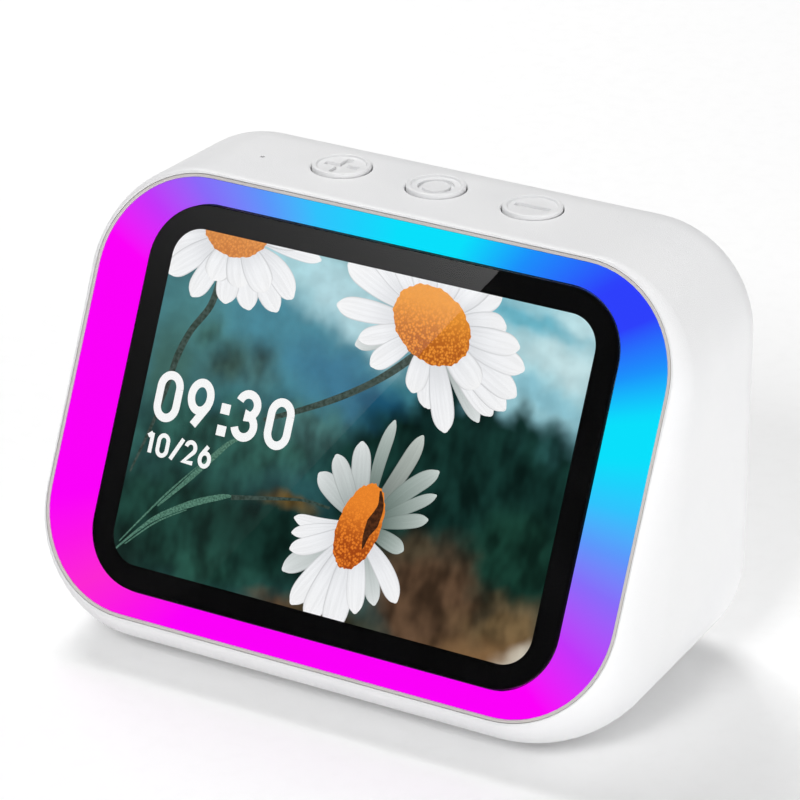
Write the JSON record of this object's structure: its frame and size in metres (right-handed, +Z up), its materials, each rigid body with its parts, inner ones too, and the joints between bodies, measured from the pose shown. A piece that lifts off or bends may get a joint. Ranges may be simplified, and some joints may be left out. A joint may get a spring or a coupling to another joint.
{
  "type": "smart display",
  "caption": "Small desk display: a leaning touch screen with a lit ring around it in a white wedge-shaped body, with press buttons on top, a speaker at the back and a power inlet.",
  "frame": {"origin": "middle of the footprint, on the surface the rubber feet stand on", "axes": "+X across the display to its right as the user sees it, +Y from the screen to the back, +Z up"},
  "size_m": [0.1156, 0.0636, 0.0811],
  "materials": {
    "white_shell": "satin moulded",
    "grey_frame": "satin moulded",
    "light_diffuser": "frosted",
    "cover_glass": "polished",
    "lcd_glass": "polished",
    "sheet_metal": "pressed sheet",
    "plated_can": "tin plated",
    "screw_steel": "zinc plated",
    "circuit_board": "solder mask",
    "led_package": "moulded",
    "grey_rubber": "matt",
    "black_plastic": "moulded",
    "magnet_steel": "plated",
    "cone_paper": "treated paper",
    "ribbon_film": "polyimide film",
    "red_wire": "insulation",
    "black_wire": "insulation"
  },
  "bodies": {
    "housing": {"rear_shell": "white_shell", "bottom_cover": "white_shell", "front_frame": "grey_frame", "light_ring": "light_diffuser", "cover_glass": "cover_glass", "lcd_panel": "lcd_glass", "lcd_backlight": "sheet_metal", "lcd_bracket": "sheet_metal", "shield_can": "plated_can", "wifi_module": "plated_can", "usb_c_socket": "plated_can", "microphone": "plated_can", "cover_screw_1": "screw_steel", "cover_screw_2": "screw_steel", "cover_screw_3": "screw_steel", "cover_screw_4": "screw_steel", "board_screw_1": "screw_steel", "board_screw_2": "screw_steel", "board_screw_3": "screw_steel", "board_screw_4": "screw_steel", "button_board_screw_1": "screw_steel", "button_board_screw_2": "screw_steel", "speaker_screw_1": "screw_steel", "speaker_screw_2": "screw_steel", "usb_board_screw": "screw_steel", "led_board": "circuit_board", "main_board": "circuit_board", "button_board": "circuit_board", "usb_board": "circuit_board", "led_1": "led_package", "led_2": "led_package", "led_3": "led_package", "led_4": "led_package", "led_5": "led_package", "led_6": "led_package", "led_7": "led_package", "led_8": "led_package", "foot_1": "grey_rubber", "foot_2": "grey_rubber", "foot_3": "grey_rubber", "foot_4": "grey_rubber", "microphone_boot": "grey_rubber", "speaker_gasket": "grey_rubber", "tact_switch_plus": "black_plastic", "tact_switch_home": "black_plastic", "tact_switch_minus": "black_plastic", "usb_c_tongue": "black_plastic", "speaker_basket": "black_plastic", "speaker_magnet": "magnet_steel", "lcd_ribbon": "ribbon_film", "button_ribbon": "ribbon_film", "power_lead_red": "red_wire", "power_lead_black": "black_wire"},
    "button_plus_key": {"button_plus": "white_shell", "plunger_plus": "black_plastic"},
    "button_home_key": {"button_home": "white_shell", "plunger_home": "black_plastic"},
    "button_minus_key": {"button_minus": "white_shell", "plunger_minus": "black_plastic"},
    "cone": {"speaker_cone": "cone_paper"}
  },
  "joints": [
    {"name": "plus_press", "type": "slide", "parent": "housing", "child": "button_plus_key", "axis": [0, 0, -1], "range_m": [0, 0.0004], "stiffness_N_per_m": 1500},
    {"name": "home_press", "type": "slide", "parent": "housing", "child": "button_home_key", "axis": [0, 0, -1], "range_m": [0, 0.0004], "stiffness_N_per_m": 1500},
    {"name": "minus_press", "type": "slide", "parent": "housing", "child": "button_minus_key", "axis": [0, 0, -1], "range_m": [0, 0.0004], "stiffness_N_per_m": 1500},
    {"name": "cone_travel", "type": "slide", "parent": "housing", "child": "cone", "axis": [0, 1, 0], "range_m": [-0.0006, 0.0006], "stiffness_N_per_m": 1200}
  ]
}
